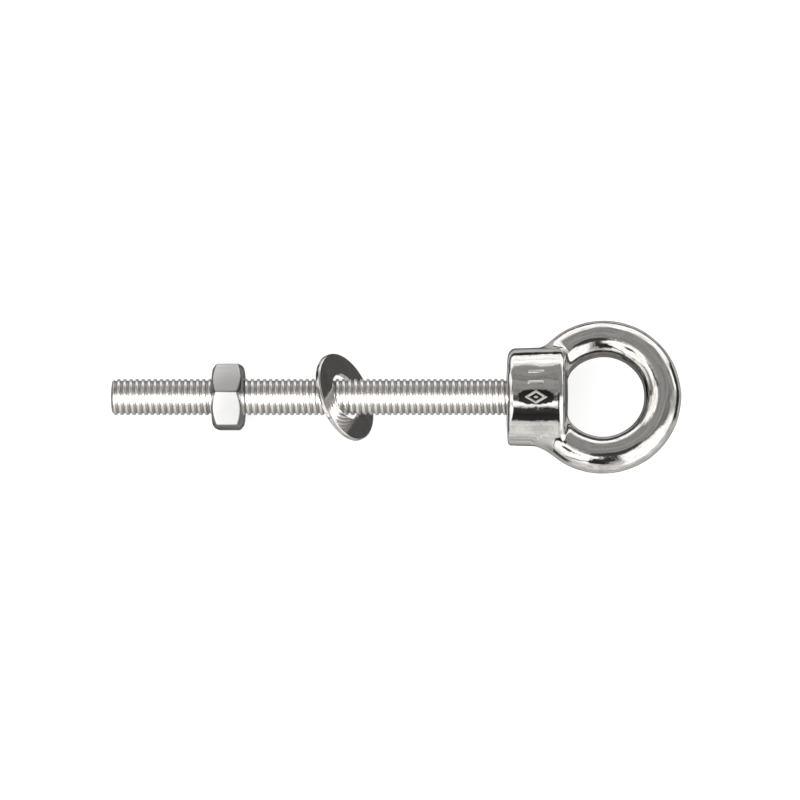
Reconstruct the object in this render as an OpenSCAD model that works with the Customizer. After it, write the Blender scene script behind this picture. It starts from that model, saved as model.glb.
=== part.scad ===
// Eye bolt: a cast eye head on a threaded stud, with a hex nut and a loose flat washer.
// The stud's axis is X. The origin is the centre of the collar's seating face, the eye is on +X,
// the stud runs to -X, and the ring lies in the XY plane.

/* [Eye ring] */
// Clear diameter through the eye
eye_clear_d = 16.9; // [15:0.1:19]
// Thickness of the ring's round section
ring_section_d = 7.5; // [6:0.1:9]
// Distance from the collar's seating face to the middle of the eye
eye_centre_x = 19.4; // [18:0.1:21]

/* [Collar] */
// Diameter of the collar beside the seating face
collar_front_d = 19.8; // [18:0.1:21]
// Diameter of the collar at the ring, a little larger because of the casting's draft
collar_rear_d = 20.6; // [18:0.1:22]
// Length of the collar
collar_length = 11.9; // [11.5:0.1:13]
// Radius of the rounding round the seating face
front_round_r = 1.5; // [0.5:0.1:2]
// Radius of the rounding round the rear face
rear_round_r = 1.2; // [0.5:0.1:1.5]

/* [Blend between collar and ring] */
// Thickness of the webs that join the ring's arms to the collar
web_thickness = 3.5; // [2.5:0.5:5]
// Radius of the hollow on the plainer side of the ring
small_fillet_r = 2.5; // [1.5:0.5:4]
// Radius of the hollow on the heavier side of the ring
large_fillet_r = 4; // [2:0.5:12]

/* [Stud] */
// Outside diameter of the rolled M8 thread
thread_d = 7.65; // [7.6:0.05:8]
// Distance from one turn of the thread to the next
thread_pitch = 1.25; // [1:0.25:1.25]
// Length of stud that stands out of the collar
exposed_length = 81.3; // [75:0.1:120]
// Length of stud screwed into the collar
engaged_length = 10; // [8:0.5:10.5]

/* [Nut] */
// Distance across the hexagon's flats
nut_across_flats = 12.8; // [12.7:0.1:14]
// Thickness of the nut
nut_thickness = 6.3; // [5:0.1:8]
// Distance from the seating face to the middle of the nut
nut_distance = 57.4; // [50:0.1:65]
// Turn of the hexagon about the stud, from a corner straight up
nut_turn = 4.5; // [0:0.1:60]
// Angle of the chamfer that rounds the hexagon's corners
nut_chamfer_angle = 36; // [15:1:40]

/* [Washer] */
// Outside diameter of the washer
washer_outer_d = 18.7; // [16:0.1:20]
// Diameter of the washer's hole
washer_hole_d = 9.9; // [8.6:0.1:10.5]
// Thickness of the washer
washer_thickness = 1; // [0.8:0.1:1.6]
// Distance from the seating face to the middle of the washer
washer_distance = 33.5; // [25:0.1:38]
// Direction that the washer leans in, about the stud, from +Y towards +Z
washer_lean = 66.8; // [0:0.1:360]
// Chamfer on the washer's stamped edges
washer_chamfer = 0.15; // [0.1:0.05:0.3]

/* [Hidden] */

// Number of sides that OpenSCAD draws a full circle with
round_fn = 96;
// Steps in a quarter-circle rounding of a turned profile
round_steps = 8;
// Radial gap between the stud and the collar's tapped hole
tapped_gap = 0.02;
// Radial gap between the stud and the nut's thread
nut_gap = 0.05;
// Gap between the leaning washer's hole and the stud
washer_gap = 0.05;
// Depth of a metric thread, as a share of its pitch
thread_depth_share = 0.6134;
// Diameter of the chamfer circle on the nut's faces, as a share of the width across flats
nut_face_share = 0.92;
// Overrun of every cut past the surface it opens
over = 1;

thread_r = thread_d / 2;
thread_depth = thread_pitch * thread_depth_share;
section_r = ring_section_d / 2;
ring_mean_r = (eye_clear_d + ring_section_d) / 2;
ring_outer_r = ring_mean_r + section_r;
nut_corner_r = nut_across_flats / 2 / cos(30);
nut_face_r = nut_across_flats / 2 * nut_face_share;
nut_chamfer_depth = (nut_corner_r - nut_face_r) * tan(nut_chamfer_angle);
// The washer leans over until both edges of its hole meet the stud
washer_hole_diagonal = norm([washer_hole_d, washer_thickness]);
washer_tilt = acos((thread_d + washer_gap) / washer_hole_diagonal)
    - atan2(washer_thickness, washer_hole_d);

// Points of an arc about (cx, cy), from angle a0 to a1
function arc(cx, cy, r, a0, a1) =
    [for (i = [0 : round_steps])
        let (a = a0 + (a1 - a0) * i / round_steps)
        [cx + r * cos(a), cy + r * sin(a)]];

// Turns a profile of [radius, x] points about the stud's axis
module turned(points) {
    rotate([0, 90, 0])
        rotate_extrude($fn = round_fn)
            polygon(points);
}

// A round bar or bore along the stud's axis, from x0 to x1
module bar(r, x0, x1) {
    translate([x0, 0, 0])
        rotate([0, 90, 0])
            cylinder(r = r, h = x1 - x0, $fn = round_fn);
}

// A cone along the stud's axis, with radius r0 at x0 and r1 at x1
module taper(r0, r1, x0, x1) {
    translate([x0, 0, 0])
        rotate([0, 90, 0])
            cylinder(r1 = r0, r2 = r1, h = x1 - x0, $fn = round_fn);
}

// The collar's turned blank, with rounded edges at both faces
module collar_blank() {
    front_r = collar_front_d / 2;
    rear_r = collar_rear_d / 2;
    turned(concat(
        [[0, 0]],
        arc(front_r - front_round_r, front_round_r, front_round_r, -90, 0),
        arc(rear_r - rear_round_r, collar_length - rear_round_r, rear_round_r, 0, 90),
        [[0, collar_length]]
    ));
}

module ring() {
    translate([eye_centre_x, 0, 0])
        rotate_extrude($fn = round_fn)
            translate([ring_mean_r, 0])
                circle(r = section_r, $fn = round_fn);
}

// A web in the ring's plane that fills the corner between the collar and the ring's arm.
// Its hollow is an arc of radius r that touches both. side is 1 for +Y and -1 for -Y.
module web(r, side) {
    flank = collar_front_d / 2;
    arc_y = flank + r;
    reach = ring_outer_r + r;
    arc_x = eye_centre_x - sqrt(reach * reach - arc_y * arc_y);
    arc_angle = atan2(eye_centre_x - arc_x, arc_y);
    arm_y = sqrt(ring_mean_r * ring_mean_r - pow(eye_centre_x - collar_length, 2));
    intersection() {
        turned(concat(
            [[0, arc_x]],
            arc(arc_y, arc_x, r, 180, 180 - arc_angle),
            [[arm_y, collar_length], [0, collar_length]]
        ));
        translate([0, side > 0 ? 0 : -ring_outer_r, -web_thickness / 2])
            cube([collar_length, ring_outer_r, web_thickness]);
    }
}

module eye_head() {
    color([0.78, 0.77, 0.75])
        difference() {
            union() {
                collar_blank();
                ring();
                web(small_fillet_r, 1);
                web(large_fillet_r, -1);
            }
            bar(thread_r + tapped_gap, -over, engaged_length);
            taper(thread_r + thread_depth + over, thread_r, -over, thread_depth);
        }
}

// The ends are chamfered down to the root of the thread
module threaded_stud() {
    end_r = thread_r - thread_depth;
    color([0.70, 0.69, 0.67])
        turned([
            [0, -exposed_length],
            [end_r, -exposed_length],
            [thread_r, -exposed_length + thread_depth],
            [thread_r, engaged_length - thread_depth],
            [end_r, engaged_length],
            [0, engaged_length]
        ]);
}

module hex_nut() {
    half = nut_thickness / 2;
    bore_r = thread_r + nut_gap;
    sink_r = bore_r + thread_depth;
    color([0.80, 0.80, 0.79])
        translate([-nut_distance, 0, 0])
            rotate([nut_turn, 0, 0])
                difference() {
                    intersection() {
                        translate([-half, 0, 0])
                            rotate([0, 90, 0])
                                cylinder(r = nut_corner_r, h = nut_thickness, $fn = 6);
                        turned([
                            [0, -half],
                            [nut_face_r, -half],
                            [nut_corner_r, nut_chamfer_depth - half],
                            [nut_corner_r, half - nut_chamfer_depth],
                            [nut_face_r, half],
                            [0, half]
                        ]);
                    }
                    bar(bore_r, -half - over, half + over);
                    taper(sink_r + over, bore_r, -half - over, thread_depth - half);
                    taper(bore_r, sink_r + over, half - thread_depth, half + over);
                }
}

module flat_washer() {
    half = washer_thickness / 2;
    hole_r = washer_hole_d / 2;
    outer_r = washer_outer_d / 2;
    shoulder = half - washer_chamfer;
    color([0.45, 0.44, 0.43])
        translate([-washer_distance, 0, 0])
            rotate([washer_lean, 0, 0])
                rotate([0, 0, washer_tilt])
                    turned([
                        [hole_r, -half],
                        [outer_r - washer_chamfer, -half],
                        [outer_r, -shoulder],
                        [outer_r, shoulder],
                        [outer_r - washer_chamfer, half],
                        [hole_r, half]
                    ]);
}

eye_head();
threaded_stud();
hex_nut();
flat_washer();
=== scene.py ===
import math

import bmesh
import bpy
import numpy as np
from mathutils import Matrix, Vector


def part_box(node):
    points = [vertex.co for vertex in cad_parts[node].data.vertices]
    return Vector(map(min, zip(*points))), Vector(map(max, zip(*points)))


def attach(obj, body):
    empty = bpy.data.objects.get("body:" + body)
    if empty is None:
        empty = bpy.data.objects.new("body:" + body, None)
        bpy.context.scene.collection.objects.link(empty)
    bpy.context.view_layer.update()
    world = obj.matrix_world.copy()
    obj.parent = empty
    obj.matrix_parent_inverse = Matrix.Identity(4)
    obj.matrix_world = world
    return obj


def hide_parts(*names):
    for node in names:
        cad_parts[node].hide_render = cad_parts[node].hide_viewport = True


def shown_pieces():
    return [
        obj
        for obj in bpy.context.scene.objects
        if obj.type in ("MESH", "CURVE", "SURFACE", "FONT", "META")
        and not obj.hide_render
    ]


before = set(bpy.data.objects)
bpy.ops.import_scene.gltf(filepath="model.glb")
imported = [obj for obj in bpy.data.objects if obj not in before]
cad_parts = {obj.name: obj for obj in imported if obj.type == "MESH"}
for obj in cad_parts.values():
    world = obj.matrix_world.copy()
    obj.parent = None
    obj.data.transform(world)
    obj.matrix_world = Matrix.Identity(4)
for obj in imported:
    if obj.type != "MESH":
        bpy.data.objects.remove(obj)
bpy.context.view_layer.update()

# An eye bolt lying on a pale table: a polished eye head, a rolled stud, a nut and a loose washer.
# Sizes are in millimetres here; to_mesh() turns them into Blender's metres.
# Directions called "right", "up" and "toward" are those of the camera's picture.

MM = 0.001

# ---- driving sizes, in millimetres ---------------------------------------------------------

# The casting. The seating face's rounding falls to its low value over FRONT_ROUND_FADE, in y,
# and the collar's blend into the ring grows over LARGE_BLEND_Y, in y, and LARGE_BLEND_OUT, a
# distance outwards from the ring's middle line.
RING_SECTION_D = 7.5
COLLAR_FRONT_D = 19.8
COLLAR_REAR_D = 20.6
COLLAR_LENGTH = 11.9
FRONT_ROUND = 1.5
FRONT_ROUND_LOW = 0.6
FRONT_ROUND_FADE = (-9.5, -5.0)
REAR_ROUND = 1.2
SMALL_BLEND = 1.2
LARGE_BLEND = 2.2
LARGE_BLEND_Y = (-5.5, -10.5)
LARGE_BLEND_OUT = (-1.0, 3.0)
BORE_DEPTH = 10.2
BORE_GAP = 0.08
MOUTH_BLEND = 0.12
CAST_WAVE = 0.02

# The raised marks, placed along X and by distance round the collar from its top.
MARK_HEIGHT = 0.22
MARK_STROKE = 0.85
MARK_X = 6.1
LOZENGE_AROUND = -2.35
LOZENGE_HALF = (1.9, 1.15)
CORE_HALF = (0.65, 0.4)
BARS_AROUND = 1.95
BAR_SPREAD = 1.2
BAR_HALF = 1.5
BAR_END = 0.15

# Places painted dark on the casting: an oval round the lozenge, a painted dark reflection, and a
# band inside the eye that is deepest towards one side, painted shade. The raised marks stop
# MARKS_CLEAR short of the collar's end, and the band starts BORE_OVERLAP before the ring does.
PATCH_HALF = (3.9, 1.6)
PATCH_SQUARENESS = 2.5
MARKS_CLEAR = 2.5
BORE_SHADE_SIDE_DEG = 35.0
BORE_SHADE_DEPTH = (0.2, 0.75)
BORE_OVERLAP = 0.2

# The thread, and the points round each turned piece.
PITCH = 1.25
SHARP_V = 0.866 * PITCH
THREAD_DEPTH = 0.38
THREAD_WEAR = 0.12
THREAD_FOOT = 0.3
THREAD_STEPS = 12
STUD_SIDES = 48
WASHER_SIDES = 96
END_BEVEL = 0.1
END_RING = 0.3

NUT_CHAMFER_DEG = 36.0
NUT_FACE_SHARE = 0.92
NUT_CORNER_ROUND = 0.3
NUT_EDGE_ROUND = 0.1
NUT_THREAD_GAP = 0.06

WASHER_EDGE_ROUND = 0.3
WASHER_CRISP_ROUND = 0.1
WASHER_HOLE_BURR = 0.1
FACE_INSET = 0.04

# ---- camera --------------------------------------------------------------------------------

# It looks down at the ring's flat side from a long way off, swung a little towards the eye and
# leaning towards -Y, and aims a little below the stud's axis. Distances are in millimetres.
LENS_MM = 292.0
CAMERA_DISTANCE = 1329.0
CAMERA_AIM = (-22.18, 0.0, 0.0)
AIM_DROP = 0.62
SWING_DEG = 3.5
LEAN_DEG = 13.2


def camera_axes():
    """The picture's right, up and toward directions in the row frame."""
    swing = math.radians(SWING_DEG)
    lean = math.radians(LEAN_DEG)
    toward = Vector((math.sin(swing), -math.sin(lean) * math.cos(swing),
                     math.cos(lean) * math.cos(swing)))
    up = Vector((0, math.cos(lean), math.sin(lean)))
    return up.cross(toward), up, toward


# ---- meshes --------------------------------------------------------------------------------


def to_mesh(name, points, faces, normals=None):
    """A closed smooth-shaded object from points in millimetres; coincident points are joined."""
    mesh = bpy.data.meshes.new(name)
    mesh.from_pydata((np.asarray(points) * MM).tolist(), [], np.asarray(faces).tolist())
    if normals is None:
        work = bmesh.new()
        work.from_mesh(mesh)
        bmesh.ops.remove_doubles(work, verts=work.verts, dist=0.002 * MM)
        bmesh.ops.recalc_face_normals(work, faces=work.faces)
        work.to_mesh(mesh)
        work.free()
    mesh.shade_smooth()
    if normals is not None:
        mesh.normals_split_custom_set_from_vertices(normals.tolist())
    piece = bpy.data.objects.new(name, mesh)
    bpy.context.scene.collection.objects.link(piece)
    return piece


def stand_for(piece, node, body, material):
    """The piece is shown in place of a CAD node, moves with its body and has its finish."""
    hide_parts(node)
    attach(piece, body)
    piece.data.materials.append(material)


def grid_faces(columns, rows, wrap_shift=0):
    """Quads of a sheet whose last column joins its first, wrap_shift rows further on."""
    column, row = np.meshgrid(np.arange(columns), np.arange(rows - 1), indexing="ij")
    beyond = (column + 1) % columns
    shift = np.where(beyond == 0, wrap_shift, 0)
    here = column * rows + row
    there = beyond * rows + row + shift
    keep = row + shift + 1 < rows
    return np.stack([here, there, there + 1, here + 1], -1)[keep]


def node_box(node):
    """The lowest and highest corners of a CAD node, in millimetres."""
    return [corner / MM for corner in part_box(node)]


def smooth_step(low, high, value):
    share = np.clip((value - low) / (high - low), 0, 1)
    return share * share * (3 - 2 * share)


# ---- solids given by a field, negative inside ----------------------------------------------

# Times that a mesh point steps down the field's slope to reach the surface.
SURFACE_STEPS = 6


def union(a, b, blend):
    """The nearer of two fields, filleted over the given width."""
    share = np.maximum(blend - np.abs(a - b), 0) / blend
    return np.minimum(a, b) - share * share * blend / 4


def cut(a, b, blend):
    """Field a with field b taken out of it."""
    return -union(-a, b, blend)


def graded(low, high, step, fine_low, fine_high, fine_step):
    """Grid planes from low to high, closer together between fine_low and fine_high."""
    before = np.arange(low, fine_low, step)
    middle = np.arange(fine_low, fine_high, fine_step)
    after = np.arange(fine_high, high + step, step)
    return np.concatenate([before, middle, after])


def slope(field, points):
    """The field and its gradient at the points."""
    reach = 0.01
    value = field(*points.T)
    steps = [field(*(points + reach * axis).T) - value for axis in np.eye(3)]
    return value, np.stack(steps, -1) / reach


def fill_saddles(inside):
    """Fills in each cell face whose corners alternate, which would otherwise pinch the mesh."""
    for turn in range(6):
        grid = inside.transpose(np.roll((0, 1, 2), turn))
        corners = grid[:, :-1, :-1], grid[:, 1:, :-1], grid[:, 1:, 1:], grid[:, :-1, 1:]
        first, second, third, fourth = corners
        saddle = (first == third) & (second == fourth) & (first != second)
        for corner in corners:
            corner |= saddle


def surface_net(field, planes):
    """Points, quads and normals where the field is zero, with one point in each cell it crosses."""
    inside = field(*np.meshgrid(*planes, indexing="ij")) < 0
    fill_saddles(inside)
    low, high = slice(None, -1), slice(1, None)
    ends = (low, high)
    corners = sum(inside[i, j, k].astype(int) for i in ends for j in ends for k in ends)
    crossed = (corners > 0) & (corners < 8)
    number = np.full(crossed.shape, -1)
    number[crossed] = np.arange(crossed.sum())
    middles = [(p[1:] + p[:-1]) / 2 for p in planes]
    points = np.stack([m[i] for m, i in zip(middles, np.nonzero(crossed))], -1)
    for _ in range(SURFACE_STEPS):
        value, gradient = slope(field, points)
        points -= gradient * (value / (gradient ** 2).sum(-1))[:, None]
    faces = []
    for axis in range(3):
        order = (axis, (axis + 1) % 3, (axis + 2) % 3)
        flags = inside.transpose(order)[:, 1:-1, 1:-1]
        cell = number.transpose(order)
        around = (cell[:, :-1, :-1], cell[:, 1:, :-1], cell[:, 1:, 1:], cell[:, :-1, 1:])
        around = np.stack(around, -1)
        leaves = flags[:-1] & ~flags[1:]
        enters = ~flags[:-1] & flags[1:]
        faces += [around[leaves], around[enters][:, ::-1]]
    gradient = slope(field, points)[1]
    normals = gradient / np.linalg.norm(gradient, axis=-1)[:, None]
    return points, np.concatenate(faces), normals


# ---- eye head ------------------------------------------------------------------------------


def eye_sizes():
    """The ring's centre, mean radius and section radius, from the CAD node's box."""
    low, high = node_box("eye_head")
    outer = (high.y - low.y) / 2
    section = RING_SECTION_D / 2
    return high.x - outer, outer - section, section


def collar_field(x, y, rho):
    """A tapered round bar with rounded ends, crisper round the seating face on the -Y side."""
    share = x / COLLAR_LENGTH
    radius = (COLLAR_FRONT_D + (COLLAR_REAR_D - COLLAR_FRONT_D) * share) / 2
    half = COLLAR_LENGTH / 2
    front = FRONT_ROUND_LOW + (FRONT_ROUND - FRONT_ROUND_LOW) * smooth_step(*FRONT_ROUND_FADE, y)
    edge = np.where(x < half, front, REAR_ROUND)
    over_side = rho - radius + edge
    over_end = np.abs(x - half) - half + edge
    outside = np.hypot(np.maximum(over_side, 0), np.maximum(over_end, 0))
    return outside + np.minimum(np.maximum(over_side, over_end), 0) - edge


def tapped_hole_field(x, rho):
    """The blind hole for the stud, with a countersink at its mouth."""
    radius = node_box("threaded_stud")[1].z + BORE_GAP
    bore = np.maximum(rho - radius, x - BORE_DEPTH)
    countersink = (rho + x - radius - THREAD_DEPTH) / math.sqrt(2)
    return np.minimum(bore, np.maximum(countersink, rho - radius - THREAD_DEPTH - 1))


def stroke(distance):
    """1 on the line where a distance is zero, falling to 0 at half a stroke's width."""
    return 1 - smooth_step(0, MARK_STROKE / 2, np.abs(distance))


def mark_relief(x, y, z):
    """Height of the raised casting marks: a lozenge and a pair of bars on the collar's top."""
    around = COLLAR_REAR_D / 2 * np.arctan2(y, z)
    along = x - MARK_X
    off_lozenge = around - LOZENGE_AROUND
    lozenge = np.abs(along) / LOZENGE_HALF[0] + np.abs(off_lozenge) / LOZENGE_HALF[1]
    outline = stroke((lozenge - 1) * min(LOZENGE_HALF) * 0.85)
    core = np.abs(along) / CORE_HALF[0] + np.abs(off_lozenge) / CORE_HALF[1]
    pip = 1 - smooth_step(0.3, 1.2, core)
    inner = 1 - smooth_step(BAR_HALF - BAR_END, BAR_HALF + BAR_END, np.abs(along))
    bars = stroke(np.abs(around - BARS_AROUND) - BAR_SPREAD) * inner
    return MARK_HEIGHT * np.maximum(np.maximum(outline, pip), bars) * (z > 0)


def casting_wave(x, y, z):
    """The slight unevenness that hand polishing leaves on a casting."""
    first = np.sin(0.83 * x + 0.31 * y + 0.4) * np.cos(0.71 * y - 0.52 * z)
    second = np.sin(0.47 * x - 0.95 * y + 1.1) * np.cos(0.62 * z + 0.35 * x)
    return CAST_WAVE * (first + second)


def eye_head():
    eye_x, mean_r, section = eye_sizes()

    def field(x, y, z):
        rho = np.hypot(y, z)
        from_eye = np.hypot(x - eye_x, y)
        collar = collar_field(x, y, rho)
        ring = np.hypot(from_eye - mean_r, z) - section
        heavy = smooth_step(*LARGE_BLEND_Y, y) * smooth_step(*LARGE_BLEND_OUT, from_eye - mean_r)
        body = union(collar, ring, SMALL_BLEND + (LARGE_BLEND - SMALL_BLEND) * heavy)
        body = body + casting_wave(x, y, z) - mark_relief(x, y, z)
        return cut(body, tapped_hole_field(x, rho), MOUTH_BLEND)

    low, high = node_box("eye_head")
    # Finer planes go through the collar, its marks and the ring's arms.
    planes = [
        graded(low.x - 0.9, high.x + 1, 0.37, low.x - 0.3, 8.4, 0.135),
        graded(low.y - 1, high.y + 1, 0.37, -5, 5, 0.17),
        graded(low.z - 1, high.z + 1, 0.3, -4.8, 4.8, 0.2),
    ]
    piece = to_mesh("eye_head_casting", *surface_net(field, planes))
    stand_for(piece, "eye_head", "bolt", casting_steel())


# ---- thread --------------------------------------------------------------------------------


def thread_height(turns):
    """Height above the root of a worn metric thread, at a place counted in turns from a crest."""
    rise = np.abs(2 * (turns % 1) - 1)
    return np.clip(SHARP_V * (rise - THREAD_FOOT), 0, THREAD_DEPTH)


def helical_sheet(low, high, angles, radius_at):
    """A right-hand thread between two planes, with the radius that radius_at(x, height) gives."""
    rows = int((high - low) / PITCH + 5) * THREAD_STEPS
    turns = np.arange(rows) / THREAD_STEPS - 2
    angle = np.asarray(angles)[:, None]
    x = low + PITCH * (turns[None, :] + angle / math.tau)
    height = np.broadcast_to(thread_height(turns), x.shape)
    x = np.clip(x, low, high)
    radius = radius_at(x, height)
    points = np.stack([x, radius * np.cos(angle), radius * np.sin(angle)], -1).reshape(-1, 3)
    return points, grid_faces(len(angles), rows, THREAD_STEPS)


def turned_sheet(profile, angles):
    """The surface that a profile of (x, radius) points, or one for each angle, sweeps about X."""
    profile = np.asarray(profile, float)
    if profile.ndim == 2:
        profile = np.broadcast_to(profile, (len(angles),) + profile.shape)
    x, radius = profile[..., 0], profile[..., 1]
    angle = np.asarray(angles)[:, None]
    points = np.stack([x, radius * np.cos(angle), radius * np.sin(angle)], -1).reshape(-1, 3)
    return points, grid_faces(len(angles), profile.shape[1])


def joined(*sheets):
    """Several sheets as one list of points and one of faces."""
    points, faces, count = [], [], 0
    for sheet_points, sheet_faces in sheets:
        points.append(sheet_points)
        faces.append(sheet_faces + count)
        count += len(sheet_points)
    return np.concatenate(points), np.concatenate(faces)


def threaded_stud():
    low, high = node_box("threaded_stud")
    crest = high.z - THREAD_WEAR
    root = crest - THREAD_DEPTH
    end_r = root - END_BEVEL
    end_radii = (end_r, end_r - END_RING, end_r / 2, 0)
    angles = np.arange(STUD_SIDES) * math.tau / STUD_SIDES

    def radius_at(x, height):
        chamfer = end_r + np.minimum(x - low.x, high.x - x)
        return np.minimum(root + height, chamfer)

    tip = turned_sheet([(low.x, r) for r in end_radii], angles)
    inner_end = turned_sheet([(high.x, r) for r in end_radii], angles)
    shank = helical_sheet(low.x, high.x, angles, radius_at)
    piece = to_mesh("rolled_stud", *joined(tip, shank, inner_end))
    stand_for(piece, "threaded_stud", "bolt", thread_steel(root, crest))
    return piece


# ---- nut -----------------------------------------------------------------------------------


def node_points(node):
    """The points of a CAD node in millimetres."""
    return np.array([vertex.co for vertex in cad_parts[node].data.vertices]) / MM


def hexagon_angles(corner_angle):
    """Angles round a hexagon, closer together at its corners."""
    from_corner = [0, 0.4, 0.8, 1.2, 2, 4, 8, 13, 18, 24]
    side = from_corner + [30] + [60 - step for step in from_corner[:0:-1]]
    return np.radians([60 * turn + step for turn in range(6) for step in side]) + corner_angle


def hexagon_radius(angles, corner_angle, flat_r):
    """Distance from the axis to the side of a hexagon with rounded corners."""
    off_corner = (angles - corner_angle + math.pi / 6) % (math.pi / 3) - math.pi / 6
    flat = flat_r / np.cos(math.pi / 6 - np.abs(off_corner))
    centre = (flat_r - NUT_CORNER_ROUND) / math.cos(math.pi / 6)
    reach = np.maximum(NUT_CORNER_ROUND ** 2 - (centre * np.sin(off_corner)) ** 2, 0)
    rounded = centre * np.cos(off_corner) + np.sqrt(reach)
    tangent = math.atan2(NUT_CORNER_ROUND * math.sin(math.pi / 6),
                         centre + NUT_CORNER_ROUND * math.cos(math.pi / 6))
    return np.where(np.abs(off_corner) < tangent, rounded, flat)


def hex_nut():
    points = node_points("hex_nut")
    low, high = points.min(0)[0], points.max(0)[0]
    spread = np.hypot(points[:, 1], points[:, 2])
    widest = points[spread.argmax()]
    corner_angle = math.atan2(widest[2], widest[1])
    flat_r = spread.max() * math.cos(math.pi / 6)
    stud_low, stud_high = node_box("threaded_stud")
    crest = stud_high.z
    mouth = crest + THREAD_DEPTH
    angles = hexagon_angles(corner_angle)
    outer = hexagon_radius(angles, corner_angle, flat_r)
    face_r = flat_r * NUT_FACE_SHARE
    fall = math.tan(math.radians(NUT_CHAMFER_DEG))
    depth = (outer - face_r) * fall
    bevel = NUT_EDGE_ROUND

    def half_outline(end, sign):
        """The end face, the chamfer and the start of the side, for each angle."""
        ones = np.ones_like(outer)
        return [
            (end * ones, mouth * ones),
            (end * ones, (mouth + bevel) * ones),
            (end * ones, (mouth + face_r) / 2 * ones),
            (end * ones, (face_r - bevel) * ones),
            (end + sign * 0.25 * bevel * ones, face_r + 0.3 * bevel * ones),
            (end + sign * (depth - bevel * fall), outer - bevel),
            (end + sign * (depth + 0.3 * bevel), outer - 0.12 * bevel),
            (end + sign * (depth + 1.3 * bevel), outer),
        ]

    rows = half_outline(low, 1) + half_outline(high, -1)[::-1]
    outside = turned_sheet(np.array(rows).transpose(2, 0, 1), angles)

    def radius_at(x, height):
        countersink = mouth - np.minimum(x - low, high - x)
        return np.maximum(crest - THREAD_DEPTH + height + NUT_THREAD_GAP, countersink)

    phase = (low - stud_low.x) / PITCH % 1 * math.tau
    inside = helical_sheet(low, high, angles - phase, radius_at)
    inside = (rotate_about_x(inside[0], phase), inside[1])
    piece = to_mesh("nut_body", *joined(outside, inside))
    stand_for(piece, "hex_nut", "nut", nut_steel())
    return piece


def rotate_about_x(points, angle):
    turn = Matrix.Rotation(angle, 3, "X")
    return points @ np.array(turn).T


# ---- washer --------------------------------------------------------------------------------


def arc(centre_x, centre_r, radius, start, end, steps=6):
    """Points (x, radius) of an arc, angles in degrees from +X towards the outside."""
    angles = np.radians(np.linspace(start, end, steps + 1))
    return [(centre_x + radius * math.cos(a), centre_r + radius * math.sin(a)) for a in angles]


def flat_washer():
    points = node_points("flat_washer")
    centre = (points.min(0) + points.max(0)) / 2
    spread, directions = np.linalg.eigh(np.cov((points - centre).T))
    axis = Vector(directions[:, 0] * np.sign(directions[0, 0]))
    along = (points - centre) @ np.array(axis)
    off = np.linalg.norm(points - centre - along[:, None] * np.array(axis), axis=1)
    half, hole_r, outer_r = along.max(), off.min() - WASHER_HOLE_BURR, off.max()
    soft, crisp = WASHER_EDGE_ROUND, WASHER_CRISP_ROUND
    middle_r = (outer_r + hole_r) / 2
    inner_r = hole_r + crisp + FACE_INSET
    profile = (
        arc(half - soft, outer_r - soft, soft, 90, 0)
        + [(half, r) for r in (outer_r - soft - FACE_INSET, middle_r, inner_r)]
        + arc(half - crisp, hole_r + crisp, crisp, 0, -90)
        + [(0, hole_r)]
        + arc(crisp - half, hole_r + crisp, crisp, 270, 180)
        + [(-half, r) for r in (inner_r, middle_r, outer_r - crisp - FACE_INSET)]
        + arc(crisp - half, outer_r - crisp, crisp, 180, 90)
        + [(0, outer_r), (half - soft, outer_r)]
    )
    angles = np.arange(WASHER_SIDES) * math.tau / WASHER_SIDES
    flat_points, faces = turned_sheet(profile, angles)
    turn = Vector((1, 0, 0)).rotation_difference(axis).to_matrix()
    placed = flat_points @ np.array(turn).T + centre
    piece = to_mesh("stamped_washer", placed, faces)
    stand_for(piece, "flat_washer", "washer", washer_steel())


# ---- materials -----------------------------------------------------------------------------

# Patterns are given as noise scales, in turns per metre, so a larger number is a finer pattern;
# three numbers stretch the noise along X, Y and Z. Greys and roughnesses are ranges, an edge is
# a noise scale and its reach in millimetres, and a tone is a grey and its warmth.
CAST_PEEL = 1000
CAST_SCRATCHES = (500, 6000, 6000)
CAST_PATCHES = 160
CAST_GREYS = (0.66, 0.74)
# Painted shade: CAST_HOLLOW_SHADE_GREY darkens the casting's hollows, where shade falls.
CAST_HOLLOW_SHADE_GREY = 0.35
CAST_ROUGHNESS = (0.045, 0.11)
CAST_BUMP = 0.24
PATCH_EDGE = (1500, 1.1)
# Painted dark reflection: PATCH_REFLECTION_GREY is the near-black grey of the oval round the
# lozenge.
PATCH_REFLECTION_GREY = 0.035
BORE_EDGE = (700, 0.8)
# Painted shade inside the eye: BORE_SHADE_TONES are its two greys, the lighter one and the darkest.
BORE_SHADE_TONES = ((0.2, 0.04), (0.05, 0.06))
HOLLOW_POINTINESS = (0.44, 0.49)

THREAD_GRAIN = (4000, 900, 900)
THREAD_STAINS = 350
# Painted shade: THREAD_ROOT_SHADE_GREY colours the thread's valleys darker than its crests.
THREAD_ROOT_SHADE_GREY = 0.31
THREAD_CREST_GREYS = (0.66, 0.76)
THREAD_ROUGHNESS = (0.34, 0.22)

NUT_LINES = (200, 5000, 5000)
NUT_STAINS = 250
NUT_GREYS = (0.70, 0.78)
# Painted shade: NUT_CHAMFER_SHADE_GREY and NUT_EDGE_SHADE_GREY darken the nut's chamfers and its
# rounded corners.
NUT_CHAMFER_SHADE_GREY = 0.26
NUT_EDGE_SHADE_GREY = 0.2
NUT_WARMTH = 0.005
NUT_ROUGHNESS = (0.17, 0.24)
CORNER_POINTINESS = (0.508, 0.55)

WASHER_SCRATCHES = ((300, 5000, 1500), (5000, 400, 2500))
WASHER_STAINS = 300
WASHER_DENTS = 260
WASHER_GREYS = (0.56, 0.64)
WASHER_ROUGHNESS = (0.08, 0.18)


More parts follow.
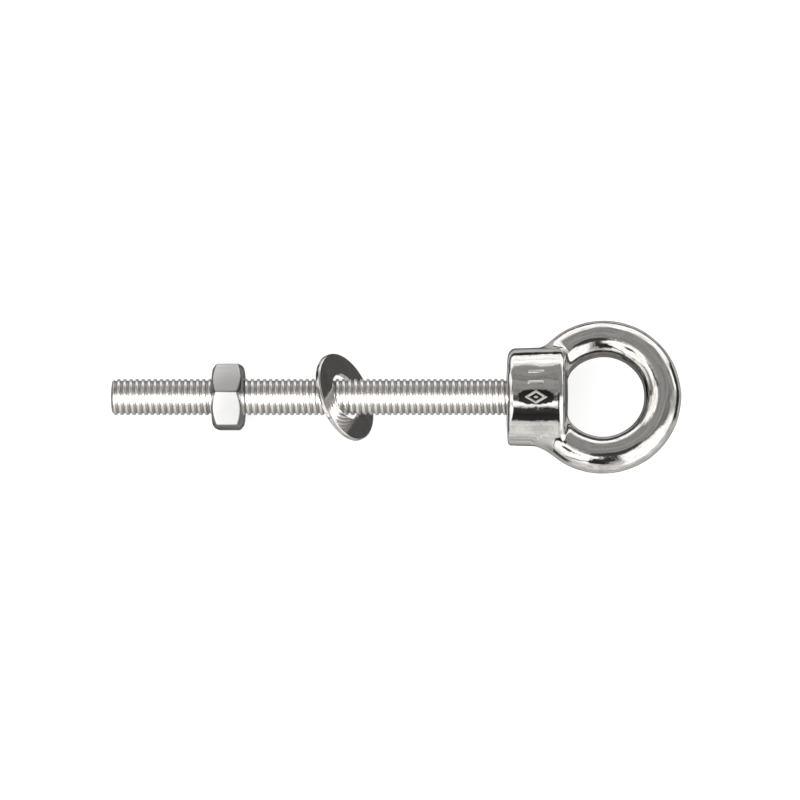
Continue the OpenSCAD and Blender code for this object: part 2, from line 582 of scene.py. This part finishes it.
class Nodes:
    """A short way to add and join shader nodes."""

    def __init__(self, tree):
        self.tree = tree
        tree.nodes.clear()

    def add(self, kind, inputs=None, **settings):
        node = self.tree.nodes.new(kind)
        for name, value in settings.items():
            setattr(node, name, value)
        for name, value in (inputs or {}).items():
            if isinstance(value, bpy.types.NodeSocket):
                self.tree.links.new(value, node.inputs[name])
            else:
                node.inputs[name].default_value = value
        return node

    def math(self, operation, a, b=0.0, c=0.0):
        return self.add("ShaderNodeMath", {0: a, 1: b, 2: c}, operation=operation).outputs[0]

    def ramp(self, value, low, high, to_low=0.0, to_high=1.0):
        """Maps low..high smoothly to to_low..to_high."""
        inputs = {
            "Value": value,
            "From Min": low,
            "From Max": high,
            "To Min": to_low,
            "To Max": to_high,
        }
        node = self.add("ShaderNodeMapRange", inputs, interpolation_type="SMOOTHSTEP")
        return node.outputs["Result"]

    def noise(self, vector, scale, detail=2.0, roughness=0.5):
        inputs = {"Vector": vector, "Scale": scale, "Detail": detail, "Roughness": roughness}
        return self.add("ShaderNodeTexNoise", inputs).outputs["Fac"]

    def place(self):
        """The object's coordinates, whole and as X, Y and Z."""
        whole = self.add("ShaderNodeTexCoord").outputs["Object"]
        split = self.add("ShaderNodeSeparateXYZ", {"Vector": whole}).outputs
        return whole, split["X"], split["Y"], split["Z"]

    def stretched(self, scale):
        """The object's coordinates, scaled by a different amount along each axis."""
        node = self.add("ShaderNodeMapping", {"Vector": self.place()[0], "Scale": scale})
        return node.outputs["Vector"]

    def mix(self, share, low, high):
        node = self.add("ShaderNodeMix", {"Factor": share}, data_type="RGBA")
        for socket, value in ((node.inputs[6], low), (node.inputs[7], high)):
            if isinstance(value, bpy.types.NodeSocket):
                self.tree.links.new(value, socket)
            else:
                socket.default_value = value
        return node.outputs[2]

    def mix_value(self, share, low, high):
        node = self.add("ShaderNodeMix", {0: share, 2: low, 3: high}, data_type="FLOAT")
        return node.outputs[0]

    def hypotenuse(self, a, b):
        square = self.math("MULTIPLY", b, b)
        return self.math("SQRT", self.math("MULTIPLY_ADD", a, a, square))


def grey(value, warmth=0.02):
    """A warm neutral of the given lightness."""
    return (value * (1 + warmth), value, value * (1 - warmth), 1)


def greys(nodes, share, values, warmth=0.02):
    """A colour between two greys."""
    return nodes.mix(share, grey(values[0], warmth), grey(values[1], warmth))


def finish_steel(nodes, colour, roughness, height, bump):
    """Joins the inputs to a metallic surface."""
    normal = nodes.add("ShaderNodeBump", {"Height": height, "Strength": bump, "Distance": 0.1 * MM})
    inputs = {
        "Base Color": colour,
        "Metallic": 1.0,
        "Roughness": roughness,
        "Normal": normal.outputs["Normal"],
    }
    surface = nodes.add("ShaderNodeBsdfPrincipled", inputs)
    nodes.add("ShaderNodeOutputMaterial", {"Surface": surface.outputs[0]})


def new_material(name):
    material = bpy.data.materials.new(name)
    material.use_nodes = True
    return material, Nodes(material.node_tree)


def raised_mask(nodes):
    """1 on the collar's raised marks."""
    _, x, y, z = nodes.place()
    taper = (COLLAR_REAR_D - COLLAR_FRONT_D) / 2 / COLLAR_LENGTH
    face = nodes.math("MULTIPLY_ADD", x, taper, COLLAR_FRONT_D / 2 * MM)
    lift = nodes.math("SUBTRACT", nodes.hypotenuse(z, y), face)
    raised = nodes.ramp(lift, MARK_HEIGHT * 0.3 * MM, MARK_HEIGHT * 0.7 * MM)
    before_ring = nodes.math("LESS_THAN", x, (COLLAR_LENGTH - MARKS_CLEAR) * MM)
    on_top = nodes.math("GREATER_THAN", z, 0.0)
    return nodes.math("MULTIPLY", nodes.math("MULTIPLY", raised, before_ring), on_top)


def reflection_patch_mask(nodes):
    """1 on the oval of painted dark reflection round the lozenge, which has an uneven edge."""
    whole, x, y, z = nodes.place()
    turn = nodes.math("ARCTAN2", y, z)
    around = nodes.math("MULTIPLY_ADD", turn, COLLAR_REAR_D / 2, -LOZENGE_AROUND)
    along = nodes.math("MULTIPLY_ADD", x, 1 / MM, -MARK_X)
    scale, amount = PATCH_EDGE
    off = nodes.math("MULTIPLY_ADD", nodes.noise(whole, scale, 4, 0.6), amount, -amount / 2)
    for distance, half in zip((along, around), PATCH_HALF):
        share = nodes.math("ABSOLUTE", nodes.math("DIVIDE", distance, half))
        off = nodes.math("ADD", off, nodes.math("POWER", share, PATCH_SQUARENESS))
    inside = nodes.ramp(off, 0.8, 1.05, 1.0, 0.0)
    return nodes.math("MULTIPLY", inside, nodes.math("GREATER_THAN", z, 0.0))


def bore_shade_mask(nodes):
    """1 on the band of painted shade inside the ring, and how far towards its darkest side a place
    is.
    """
    eye_x, mean_r, section = eye_sizes()
    inner_r = mean_r - section
    whole, x, y, _ = nodes.place()
    along = nodes.math("MULTIPLY_ADD", x, 1 / MM, -eye_x)
    across = nodes.math("DIVIDE", y, MM)
    from_eye = nodes.hypotenuse(along, across)
    turn = math.radians(BORE_SHADE_SIDE_DEG)
    side = nodes.math("MULTIPLY", across, math.sin(turn))
    side = nodes.math("DIVIDE", nodes.math("MULTIPLY_ADD", along, math.cos(turn), side), mean_r)
    depth = nodes.ramp(side, -0.5, 0.3, *BORE_SHADE_DEPTH)
    scale, amount = BORE_EDGE
    ragged = nodes.math("MULTIPLY_ADD", nodes.noise(whole, scale, 4, 0.6), amount, -amount / 2)
    off = nodes.math("SUBTRACT", inner_r, nodes.math("SUBTRACT", from_eye, depth))
    inside = nodes.ramp(nodes.math("ADD", off, ragged), -0.12, 0.12)
    past_collar = nodes.math("GREATER_THAN", x, (COLLAR_LENGTH - BORE_OVERLAP) * MM)
    on_ring = nodes.math("GREATER_THAN", from_eye, inner_r - BORE_OVERLAP)
    return nodes.math("MULTIPLY", inside, nodes.math("MULTIPLY", on_ring, past_collar)), side


def casting_steel():
    """Hand-polished cast stainless steel: orange peel, fine scratches and painted shade in the
    hollows.
    """
    material, nodes = new_material("polished_cast_steel")
    place = nodes.stretched((1, 1, 1))
    scratches = nodes.noise(nodes.stretched(CAST_SCRATCHES), 1, 3, 0.7)
    pointiness = nodes.add("ShaderNodeNewGeometry").outputs["Pointiness"]
    hollow_shade = nodes.ramp(pointiness, *HOLLOW_POINTINESS, 1.0, 0.0)
    raised = raised_mask(nodes)
    patch = nodes.math("MULTIPLY", reflection_patch_mask(nodes), nodes.math("SUBTRACT", 1.0, raised))
    bore, side = bore_shade_mask(nodes)
    colour = greys(nodes, nodes.noise(place, CAST_PATCHES, 3), CAST_GREYS)
    # Painted shade in the hollows.
    colour = nodes.mix(hollow_shade, colour, grey(CAST_HOLLOW_SHADE_GREY, 0.05))
    # Painted dark reflection on the oval round the lozenge.
    colour = nodes.mix(patch, colour, grey(PATCH_REFLECTION_GREY, 0.08))
    # Painted shade inside the eye, darkest towards one side.
    upper, darkest_shade = [grey(*tone) for tone in BORE_SHADE_TONES]
    colour = nodes.mix(bore, colour, nodes.mix(nodes.ramp(side, 0.6, 0.95), upper, darkest_shade))
    roughness = nodes.ramp(scratches, 0.35, 0.75, *CAST_ROUGHNESS)
    for mask, rougher in ((hollow_shade, 0.15), (patch, 0.25), (raised, 0.3)):
        roughness = nodes.math("MULTIPLY_ADD", mask, rougher, roughness)
    height = nodes.math("MULTIPLY_ADD", scratches, 0.02, nodes.noise(place, CAST_PEEL, 4))
    finish_steel(nodes, colour, roughness, height, CAST_BUMP)
    return material


def thread_steel(root, crest):
    """Rolled thread: bright crests, with painted shade darkening the valleys."""
    material, nodes = new_material("rolled_thread_steel")
    whole, _, y, z = nodes.place()
    height = nodes.ramp(nodes.hypotenuse(z, y), root * MM, crest * MM)
    grain = nodes.noise(nodes.stretched(THREAD_GRAIN), 1, 3, 0.6)
    crest_colour = greys(nodes, nodes.noise(whole, THREAD_STAINS, 3), THREAD_CREST_GREYS)
    # Painted shade in the valleys, rising to the crest's own colour.
    colour = nodes.mix(height, grey(THREAD_ROOT_SHADE_GREY, 0.04), crest_colour)
    roughness = nodes.ramp(height, 0.0, 1.0, *THREAD_ROUGHNESS)
    roughness = nodes.math("MULTIPLY_ADD", grain, 0.1, roughness)
    finish_steel(nodes, colour, roughness, grain, 0.25)
    return material


def nut_steel():
    """Machined bar: faint lines along the flats, and painted shade on the corners and chamfers."""
    material, nodes = new_material("bright_nut_steel")
    place = nodes.stretched((1, 1, 1))
    lines = nodes.noise(nodes.stretched(NUT_LINES), 1, 3, 0.6)
    geometry = nodes.add("ShaderNodeNewGeometry").outputs
    edge = nodes.ramp(geometry["Pointiness"], *CORNER_POINTINESS)
    facing = nodes.add("ShaderNodeSeparateXYZ", {"Vector": geometry["Normal"]}).outputs["X"]
    facing = nodes.math("ABSOLUTE", facing)
    off_side = nodes.ramp(facing, 0.55, 0.72)
    chamfer = nodes.math("MULTIPLY", off_side, nodes.ramp(facing, 0.9, 0.97, 1.0, 0.0))
    colour = greys(nodes, nodes.noise(place, NUT_STAINS, 3), NUT_GREYS, NUT_WARMTH)
    # Painted shade on the chamfers, picked out by which way they face, and on the corners.
    colour = nodes.mix(chamfer, colour, grey(NUT_CHAMFER_SHADE_GREY, NUT_WARMTH))
    colour = nodes.mix(edge, colour, grey(NUT_EDGE_SHADE_GREY, NUT_WARMTH))
    roughness = nodes.ramp(lines, 0.3, 0.7, *NUT_ROUGHNESS)
    finish_steel(nodes, colour, roughness, lines, 0.04)
    return material


def washer_steel():
    """Polished sheet, tumbled after stamping: soft patches and scratches in every direction."""
    material, nodes = new_material("polished_washer_steel")
    place = nodes.stretched((1, 1, 1))
    first, second = [nodes.noise(nodes.stretched(scale), 1, 3, 0.7) for scale in WASHER_SCRATCHES]
    scratches = nodes.math("MAXIMUM", first, second)
    colour = greys(nodes, nodes.noise(place, WASHER_STAINS, 3), WASHER_GREYS)
    roughness = nodes.ramp(scratches, 0.45, 0.8, *WASHER_ROUGHNESS)
    height = nodes.math("MULTIPLY_ADD", scratches, 0.1, nodes.noise(place, WASHER_DENTS, 1))
    finish_steel(nodes, colour, roughness, height, 0.08)
    return material


# ---- studio --------------------------------------------------------------------------------

# Each card of the studio: the direction it lies in as seen from the object, counted from the
# picture's right (0) through up (90), how far it reaches to each side, how far from the camera's
# direction it starts and ends, and how much further out it lies for each degree of turn, all in
# degrees; then its brightness and edge softness. A later card hides an earlier one.
CARDS = [
    ("ceiling_grey", 82, 62, 12, 78, 0, 0.33, 3),
    ("back_light", 90, 75, 81, 117, 0, 1.35, 4),
    ("back_line", 90, 60, 118, 129, 0, 0.02, 2),
    ("front_soft", -90, 60, 63, 112, 0, 0.8, 7),
    ("left_white", -137, 28, 12, 72, 0, 1.5, 4),
    ("left_soft", 180, 17, 17, 60, 0, 1.5, 4),
    ("left_high", 146, 16, 44, 82, 0, 1.3, 5),
    ("left_curl", 156, 17, 34, 41, 0, 0.05, 3),
    ("left_grey", 180, 20, 63, 88, 0, 0.28, 4),
    ("left_dark", 185, 55, 90, 116, 0, 0.08, 5),
    ("left_streak", -150, 11, 28, 40, 0, 0.05, 3),
    ("front_black", -100, 14, 26, 58, 0, 0.03, 3),
    ("front_shade", -88, 10, 9, 44, 0, 0.04, 4),
    ("front_line", -116, 14, 51, 58, -1.5, 0.03, 2),
    ("right_white", -36, 34, 15, 90, 0, 1.5, 6),
    ("right_grey", 20, 18, 12, 53, 0, 0.24, 4),
    ("right_dark", 12, 24, 95, 123, 0, 0.04, 3),
]
STUDIO_BASE = 0.55
STUDIO_TINT = (1.0, 0.985, 0.965, 1)

# Noise that makes the cards' edges uneven, by so many degrees, and their light patchy.
STUDIO_UNEVEN_DEG = 4.0
STUDIO_UNEVEN_NOISE = (14, 4, 0.6)
STUDIO_CLOUD = 0.35
STUDIO_CLOUD_NOISE = (9, 4, 0.65)

# The dark camera, and the dark behind the object: the angle at which each begins or ends, its
# edge softness, and its brightness.
NEAR_CAMERA = (12, 3, 0.06)
BEHIND = (152, 5, 0.12)

# The lamps over the table: name, place and size in metres, and power in watts.
LAMPS = [
    ("key", (-0.5, -0.4, 1.2), 1.6, 26),
    ("fill", (0.6, 0.6, 1.1), 1.4, 14),
]
TABLE_SIZE = 6
TABLE_GREYS = (0.30, 0.33)
TABLE_GLOW = 0.7

# The softboxes that light one piece each: where they stand, in the cards' angles, how far away
# they are and their size, in metres, and their brightness.
STUD_SOFTBOX = (-90, 15, 0.6, (1.4, 0.56), 8.0)
NUT_SOFTBOX = (-105, 43, 0.6, (0.36, 0.3), 1.3)


def card_mask(nodes, card, side, polar):
    """1 where a card is, for a ray's turn and its angle from the camera's direction."""
    _, middle, reach, start, end, slant, _, soft = card
    turned = nodes.math("WRAP", nodes.math("SUBTRACT", side, middle), 180.0, -180.0)
    out = nodes.math("MULTIPLY_ADD", turned, -slant, polar)
    across = nodes.ramp(nodes.math("ABSOLUTE", turned), reach - soft, reach + soft, 1.0, 0.0)
    after_start = nodes.ramp(out, start - soft, start + soft)
    before_end = nodes.ramp(out, end - soft, end + soft, 1.0, 0.0)
    return nodes.math("MULTIPLY", nodes.math("MULTIPLY", across, after_start), before_end)


def studio():
    """Soft cards round the object, as a world that the metal reflects; the camera sees white."""
    right, up, toward = camera_axes()
    world = bpy.data.worlds.new("studio")
    world.use_nodes = True
    nodes = Nodes(world.node_tree)
    ray = nodes.add("ShaderNodeTexCoord").outputs["Generated"]

    def along(axis):
        dot = nodes.add("ShaderNodeVectorMath", {0: ray, 1: axis}, operation="DOT_PRODUCT")
        return dot.outputs["Value"]

    polar = nodes.math("DEGREES", nodes.math("ARCCOSINE", along(toward)))
    uneven = nodes.noise(ray, *STUDIO_UNEVEN_NOISE)
    uneven = nodes.math("MULTIPLY_ADD", uneven, 2 * STUDIO_UNEVEN_DEG, -STUDIO_UNEVEN_DEG)
    polar = nodes.math("ADD", polar, uneven)
    side = nodes.math("DEGREES", nodes.math("ARCTAN2", along(up), along(right)))
    light = STUDIO_BASE
    for card in CARDS:
        light = nodes.mix_value(card_mask(nodes, card, side, polar), light, card[-2])
    edge, soft, brightness = NEAR_CAMERA
    near = nodes.ramp(polar, edge - soft, edge + soft, 1.0, 0.0)
    light = nodes.mix_value(near, light, brightness)
    edge, soft, brightness = BEHIND
    behind = nodes.ramp(polar, edge - soft, edge + soft)
    light = nodes.mix_value(behind, light, brightness)
    cloud = nodes.noise(ray, *STUDIO_CLOUD_NOISE)
    cloud = nodes.ramp(cloud, 0.3, 0.7, 1 - STUDIO_CLOUD, 1 + STUDIO_CLOUD)
    light = nodes.math("MULTIPLY", light, cloud)
    seen = nodes.add("ShaderNodeLightPath").outputs["Is Camera Ray"]
    strength = nodes.mix_value(seen, light, 1.0)
    background = nodes.add("ShaderNodeBackground", {"Color": STUDIO_TINT, "Strength": strength})
    nodes.add("ShaderNodeOutputWorld", {"Surface": background.outputs[0]})
    bpy.context.scene.world = world


def floor():
    """A pale table that the collar, nut and washer rest on, clear when seen from beneath."""
    collar_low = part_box("eye_head")[0].z
    nut_low, nut_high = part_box("hex_nut")
    run = COLLAR_LENGTH / 2 * MM - (nut_low.x + nut_high.x) / 2
    rise = (nut_low.z - collar_low) / run
    pieces = [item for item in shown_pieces() if item.type == "MESH"]
    lowest = min(v.co.z + rise * v.co.x for item in pieces for v in item.data.vertices)
    bpy.ops.mesh.primitive_plane_add(size=TABLE_SIZE)
    table = bpy.context.object
    table.name = "table"
    table.rotation_euler.y = math.atan(rise)
    table.location.z = lowest - 0.02 * MM
    table.visible_glossy = False
    material, nodes = new_material("pale_table")
    clouds = nodes.noise(nodes.stretched((1, 1, 1)), 30, 3)
    inputs = {
        "Base Color": greys(nodes, clouds, TABLE_GREYS, 0.004),
        "Roughness": 0.9,
        "Emission Color": (1, 1, 1, 1),
        "Emission Strength": TABLE_GLOW,
    }
    surface = nodes.add("ShaderNodeBsdfPrincipled", inputs).outputs[0]
    beneath = nodes.add("ShaderNodeNewGeometry").outputs["Backfacing"]
    clear = nodes.add("ShaderNodeBsdfTransparent").outputs[0]
    shown = nodes.add("ShaderNodeMixShader", {0: beneath, 1: surface, 2: clear})
    nodes.add("ShaderNodeOutputMaterial", {"Surface": shown.outputs[0]})
    table.data.materials.append(material)


def lamps():
    """Wide soft lamps over the table. The metal doesn't mirror them: it reflects the studio."""
    for name, place, size, power in LAMPS:
        lamp = bpy.data.lights.new(name, "AREA")
        lamp.size = size
        lamp.energy = power
        holder = bpy.data.objects.new(name, lamp)
        holder.location = place
        holder.rotation_mode = "QUATERNION"
        holder.rotation_quaternion = Vector(place).to_track_quat("Z", "Y")
        holder.visible_glossy = False
        bpy.context.scene.collection.objects.link(holder)


def softbox(piece, azimuth, polar, reach, size, brightness):
    """A softbox that lights one piece alone."""
    right, up, toward = camera_axes()
    side = math.radians(azimuth)
    out = math.radians(polar)
    sideways = right * math.cos(side) + up * math.sin(side)
    away = sideways * math.sin(out) + toward * math.cos(out)
    across = away.cross(right).normalized()
    lamp = bpy.data.lights.new(piece.name + "_softbox", "AREA")
    lamp.shape = "RECTANGLE"
    lamp.size, lamp.size_y = size
    lamp.energy = brightness * math.pi * lamp.size * lamp.size_y
    holder = bpy.data.objects.new(lamp.name, lamp)
    middle = sum((Vector(corner) for corner in piece.bound_box), Vector()) / 8
    turn = Matrix((across.cross(away), across, away)).transposed().to_4x4()
    holder.matrix_world = Matrix.Translation(middle + away * reach) @ turn
    bpy.context.scene.collection.objects.link(holder)
    lit = bpy.data.collections.new("lit_by_" + lamp.name)
    lit.objects.link(piece)
    holder.light_linking.receiver_collection = lit


def camera():
    right, up, toward = camera_axes()
    lens = bpy.data.cameras.new("camera")
    lens.lens = LENS_MM
    lens.clip_start = 0.01
    holder = bpy.data.objects.new("camera", lens)
    aim = Vector(CAMERA_AIM) - up * AIM_DROP
    place = (aim + toward * CAMERA_DISTANCE) * MM
    turn = Matrix((right, up, toward)).transposed().to_4x4()
    holder.matrix_world = Matrix.Translation(place) @ turn
    bpy.context.scene.collection.objects.link(holder)
    bpy.context.scene.camera = holder


eye_head()
stud = threaded_stud()
nut = hex_nut()
flat_washer()
studio()
floor()
lamps()
softbox(stud, *STUD_SOFTBOX)
softbox(nut, *NUT_SOFTBOX)
camera()
bpy.context.scene.view_settings.view_transform = "Standard"
